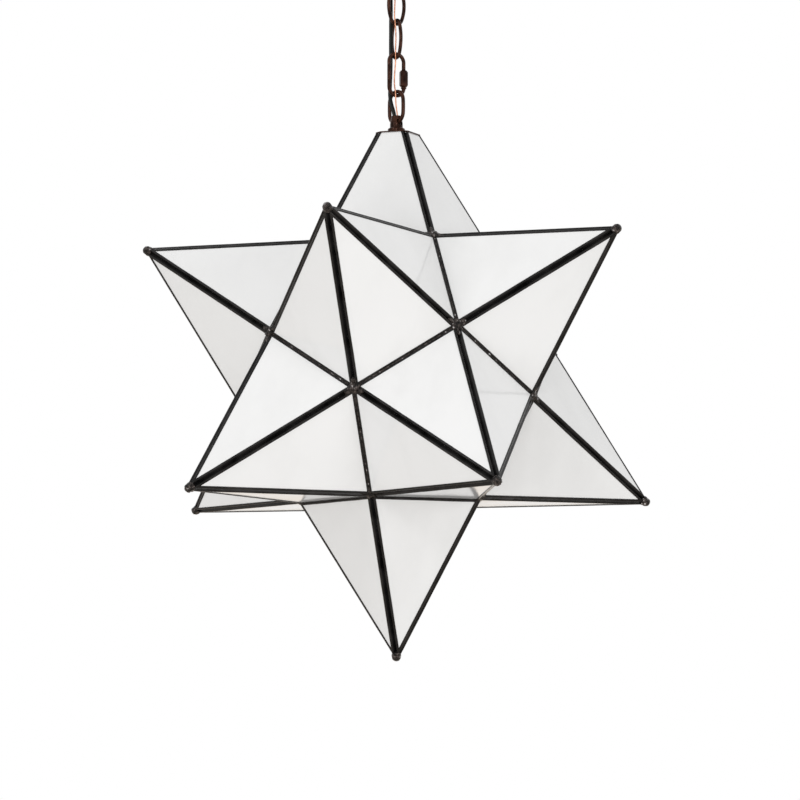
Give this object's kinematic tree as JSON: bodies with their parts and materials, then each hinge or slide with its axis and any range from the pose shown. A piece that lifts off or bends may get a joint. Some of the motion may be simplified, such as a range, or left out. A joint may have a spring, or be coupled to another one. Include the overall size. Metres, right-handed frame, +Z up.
{
  "type": "moravian star pendant",
  "caption": "Twelve-pointed star lantern of opal glass in dark channel, hung on a short chain from a round canopy.",
  "frame": {"origin": "middle of the crossbar's two box slots, in the plane of the ceiling", "axes": "+Z up towards the ceiling, +X along the crossbar, -Y towards the upper front point of the star"},
  "size_m": [0.4952, 0.5202, 0.764],
  "materials": {
    "opal_glass": "glossy milk-white",
    "dark_came": "near-black patina, satin",
    "dark_solder": "lumpy, dark patina with bright spots",
    "hinge_brass": "dark patina",
    "bronze_finish": "dark bronze, satin",
    "plain_steel": "zinc plated",
    "socket_brass": "bright",
    "socket_moulding": "black",
    "lamp_metal": "rolled",
    "lamp_glass": "frosted",
    "green_screw": "green plated",
    "black_cord": "smooth, satin",
    "copper_wire": "bare copper"
  },
  "bodies": {
    "ceiling_mount": {"crossbar": "plain_steel", "mounting_nipple": "plain_steel", "nipple_locknut": "plain_steel", "ground_screw": "green_screw", "canopy_loop": "bronze_finish", "power_cord": "black_cord", "ground_wire": "copper_wire"},
    "canopy_cover": {"canopy": "bronze_finish"},
    "collar": {"collar_ring": "bronze_finish"},
    "upper_link": {"chain_link_upper": "bronze_finish"},
    "lower_link": {"chain_link_lower": "bronze_finish"},
    "quick_link_wire": {"quick_link": "bronze_finish"},
    "sleeve_nut": {"quick_link_nut": "bronze_finish"},
    "ring": {"ring_link": "bronze_finish"},
    "star": {"hanging_loop": "bronze_finish", "top_plate": "bronze_finish", "stem_pipe": "plain_steel", "plate_washer": "plain_steel", "plate_nut": "plain_steel", "socket_cap": "socket_brass", "socket_shell": "socket_brass", "socket_core": "socket_moulding", "screw_shell": "socket_brass", "centre_contact": "socket_brass", "glass_top": "opal_glass", "glass_upper_front": "opal_glass", "glass_upper_right": "opal_glass", "glass_upper_back_right": "opal_glass", "glass_upper_back_left": "opal_glass", "glass_upper_left": "opal_glass", "glass_lower_front_right": "opal_glass", "glass_lower_right": "opal_glass", "glass_lower_back": "opal_glass", "glass_lower_left": "opal_glass", "glass_lower_front_left": "opal_glass", "came_top": "dark_came", "came_upper_front": "dark_came", "came_upper_right": "dark_came", "came_upper_back_right": "dark_came", "came_upper_back_left": "dark_came", "came_upper_left": "dark_came", "came_lower_front_right": "dark_came", "came_lower_right": "dark_came", "came_lower_back": "dark_came", "came_lower_left": "dark_came", "came_lower_front_left": "dark_came", "solder_tips": "dark_solder", "solder_lumps": "dark_solder", "hinge_knuckles_shade": "hinge_brass", "hinge_pin": "hinge_brass"},
    "door": {"glass_bottom": "opal_glass", "came_bottom": "dark_came", "door_tip_solder": "dark_solder", "hinge_knuckle_door": "hinge_brass", "door_catch": "hinge_brass"},
    "lamp": {"lamp_base": "lamp_metal", "lamp_glass": "lamp_glass"}
  },
  "joints": [
    {"name": "canopy_drop", "type": "slide", "parent": "ceiling_mount", "child": "canopy_cover", "axis": [0, 0, -1], "range_m": [0, 0.02]},
    {"name": "collar_turn", "type": "hinge", "parent": "canopy_cover", "child": "collar", "pos_m": [0, 0, -0.033], "axis": [0, 0, 1], "continuous": true},
    {"name": "upper_link_swing", "type": "hinge", "parent": "ceiling_mount", "child": "upper_link", "pos_m": [0, 0, -0.0617], "axis": [0.7071, -0.7071, 0], "range_deg": [-25, 25], "deforming": ["power_cord", "ground_wire"]},
    {"name": "lower_link_swing", "type": "hinge", "parent": "upper_link", "child": "lower_link", "pos_m": [0, 0, -0.09745], "axis": [0.7071, 0.7071, 0], "range_deg": [-25, 25], "deforming": ["power_cord", "ground_wire"]},
    {"name": "quick_link_swing", "type": "hinge", "parent": "lower_link", "child": "quick_link_wire", "pos_m": [0, 0, -0.1335], "axis": [0.7071, -0.7071, 0], "range_deg": [-25, 25], "deforming": ["power_cord", "ground_wire"]},
    {"name": "sleeve_nut_run", "type": "slide", "parent": "quick_link_wire", "child": "sleeve_nut", "axis": [0, 0, 1], "range_m": [0, 0.008]},
    {"name": "ring_swing", "type": "hinge", "parent": "quick_link_wire", "child": "ring", "pos_m": [0, 0, -0.17365], "axis": [0.7071, 0.7071, 0], "range_deg": [-25, 25], "deforming": ["power_cord", "ground_wire"]},
    {"name": "star_swing", "type": "hinge", "parent": "ring", "child": "star", "pos_m": [0, 0, -0.2027], "axis": [0.8387, -0.5446, 0], "range_deg": [-20, 20], "deforming": ["power_cord", "ground_wire"]},
    {"name": "door_hinge", "type": "hinge", "parent": "star", "child": "door", "pos_m": [0, 0.08202, -0.59972], "axis": [1, 0, 0], "range_deg": [0, 95]},
    {"name": "lamp_screw", "type": "hinge", "parent": "star", "child": "lamp", "pos_m": [0, 0, -0.377], "axis": [0, 0, 1], "continuous": true}
  ]
}
